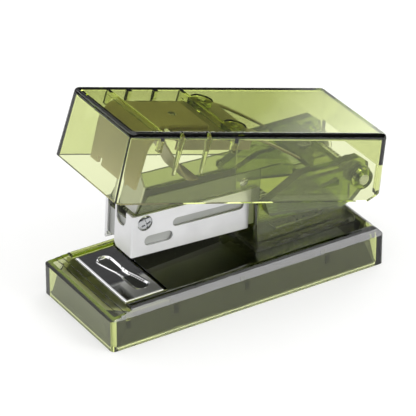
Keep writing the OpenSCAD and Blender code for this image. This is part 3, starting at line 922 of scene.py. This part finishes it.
def make_channel():
    """The channel in three: steel in the cover, smoky above it, and a clear tongue behind."""
    tongue_x, cover_top, overlap = 41.5, 21.6, 0.02
    whole = node_bmesh("magazine_channel")
    whole.transform(ON_MAGAZINE.inverted())
    before_tongue = box_mesh((0, -10, 0), (tongue_x, 10, 60))
    behind_front = box_mesh((tongue_x - overlap, -10, 0), (90, 10, 60))
    above_cover = box_mesh((0, -10, cover_top), (90, 10, 60))
    in_cover = box_mesh((0, -10, 0), (90, 10, cover_top + overlap))
    rear = combine(whole.copy(), [before_tongue], "DIFFERENCE")
    front = combine(whole, [behind_front], "DIFFERENCE")
    lower = combine(front.copy(), [above_cover], "DIFFERENCE")
    upper = combine(front, [in_cover], "DIFFERENCE")
    smoky = add_piece("channel_smoky_front", upper, "magazine_channel", ON_MAGAZINE)
    steel = add_piece("channel_steel_front", lower, "magazine_channel", ON_MAGAZINE)
    tongue = add_piece("channel_clear_tongue", rear, "magazine_channel", ON_MAGAZINE)
    steel.data.materials[0] = channel_steel
    tongue.data.materials[0] = green


def make_pusher_spring():
    """Coil round the guide rod, drawn at one length with a flat turn at each end; the pusher shortens the real
    one.
    """
    low, high = 19.38, 55.77
    turns, steps = 21, 18
    wire, coil = 0.18, 1.1
    rod_z = MAGAZINE_FLOOR + 2.8
    points = []
    for i in range(turns * steps + 1):
        t = i / (turns * steps)
        flat = min(1, max(0, (t * turns - 1) / (turns - 2)))
        angle = 2 * math.pi * turns * t
        points.append(Vector((
            low + (high - low) * flat,
            coil * math.cos(angle),
            rod_z + coil * math.sin(angle),
        )))
    bm = tube(points, wire)
    piece = add_piece("pusher_coil", bm, "pusher_spring", ON_MAGAZINE, crease=60)
    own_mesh(piece)


# ------------------------------------------------------------------- building

# Nodes that keep their own shape, with the radius of their edges in mm
FILLETS = {
    "hinge_bracket": 0.25,
    "carrier_housing": 0.45,
    "bottom_tray": 0.15,
    "housing_screw": 0.12,
    "holder_screw": 0.15,
    "spring_screws": 0.15,
    "bracket_screws": 0.12,
    "hinge_bushes": 0.15,
    "rubber_feet": 0.15,
    "staple_pusher": 0.12,
    "hinge_pin": 0.2,
}

make_cap()
make_base()
for node, radius in FILLETS.items():
    add_filleted(node, radius)
paint_tray_shade_and_light()
make_cover()
make_blade()
make_rivets(
    "front_rivets", (13.1, 19.9), face_y=5.5, shank_y=4.55, shank_r=0.75, head_r=1.8, rise=0.5
)
make_rivets(
    "rear_rivets", (37.3, 23.7), face_y=4.95, shank_y=4.55, shank_r=0.45, head_r=1.0, rise=0.3
)
make_lift_spring()
make_leaf_spring()
make_driver_holder()
make_channel()
make_pusher_spring()
make_anvil()

# ---------------------------------------------------------------------- stage

scene = bpy.context.scene
scene.view_settings.view_transform = "Standard"

FLOOR_HALF = 3.0
FLOOR_GREY = (0.55, 0.55, 0.547, 1)
FLOOR_GLOW = 0.47
floor_mesh = bpy.data.meshes.new("floor")
corners = ((-1, -1), (1, -1), (1, 1), (-1, 1))
floor_mesh.from_pydata(
    [(x * FLOOR_HALF, y * FLOOR_HALF, 0) for x, y in corners], [], [(0, 1, 2, 3)]
)
floor = bpy.data.objects.new("floor", floor_mesh)
floor.location.z = cad_low.z - 0.0001
scene.collection.objects.link(floor)
floor_material, _, floor_shader, _ = new_material("floor")
floor_shader.inputs["Base Color"].default_value = FLOOR_GREY
floor_shader.inputs["Emission Color"].default_value = (1, 1, 1, 1)
floor_shader.inputs["Emission Strength"].default_value = FLOOR_GLOW
floor_shader.inputs["Roughness"].default_value = 0.9
floor_shader.inputs["Specular IOR Level"].default_value = 0.1
floor_mesh.materials.append(floor_material)

# A bright overhead light over a dim room, and softboxes that mostly show in edges and bevels
OVERHEAD = 1.6
ROOM = 0.06
OVERHEAD_FADE = (0.56, 0.76)  # sines of the heights between which it fades in
SOFTBOX_FADE = 1.5  # degrees either side of a softbox's edge
SOFTBOXES = (  # direction, radius in degrees, brightness
    ((0.456, -0.65, 0.61), 11, 6),
    ((-0.506, 0.732, 0.456), 12, 1.6),
    ((0.83, 0.52, 0.2), 14.6, 3.2),
)


def make_studio():
    """World light from the direction that it is seen in."""
    world = bpy.data.worlds.new("studio")
    scene.world = world
    world.use_nodes = True
    sky = world.node_tree
    background = sky.nodes["Background"]
    background.inputs["Color"].default_value = (1, 1, 1, 1)
    direction = sky.nodes.new("ShaderNodeTexCoord").outputs["Generated"]
    height = sky.nodes.new("ShaderNodeSeparateXYZ")
    sky.links.new(direction, height.inputs["Vector"])
    light = spread(sky, height.outputs["Z"], ROOM, OVERHEAD, *OVERHEAD_FADE)
    for aim, radius, brightness in SOFTBOXES:
        facing = sky.nodes.new("ShaderNodeVectorMath")
        facing.operation = "DOT_PRODUCT"
        facing.inputs[1].default_value = Vector(aim).normalized()
        sky.links.new(direction, facing.inputs[0])
        edges = [math.cos(math.radians(radius + fade)) for fade in (SOFTBOX_FADE, -SOFTBOX_FADE)]
        total = sky.nodes.new("ShaderNodeMath")
        total.operation = "ADD"
        sky.links.new(light, total.inputs[0])
        box_light = spread(sky, facing.outputs["Value"], 0, brightness, *edges)
        sky.links.new(box_light, total.inputs[1])
        light = total.outputs["Value"]
    sky.links.new(light, background.inputs["Strength"])


make_studio()

# --------------------------------------------------------------------- camera

AZIMUTH = math.radians(-31.907)
ELEVATION = math.radians(30.395)
DISTANCE = 0.709
MIDDLE = Vector((-0.0005, 0, 0.020))
AIM_RIGHT = -0.001721  # how far the camera aims off the middle, across and up
AIM_UP = -0.002409
back = Vector((
    math.sin(AZIMUTH) * math.cos(ELEVATION),
    -math.cos(AZIMUTH) * math.cos(ELEVATION),
    math.sin(ELEVATION),
))
right = Vector((math.cos(AZIMUTH), math.sin(AZIMUTH), 0))
up = back.cross(right)
camera_data = bpy.data.cameras.new("camera")
camera_data.lens = 288.1
camera_data.sensor_width = 36
camera_data.clip_end = 20
camera = bpy.data.objects.new("camera", camera_data)
camera.location = MIDDLE + AIM_RIGHT * right + AIM_UP * up + DISTANCE * back
camera.rotation_euler = (math.pi / 2 - ELEVATION, 0, AZIMUTH)
scene.collection.objects.link(camera)
scene.camera = camera
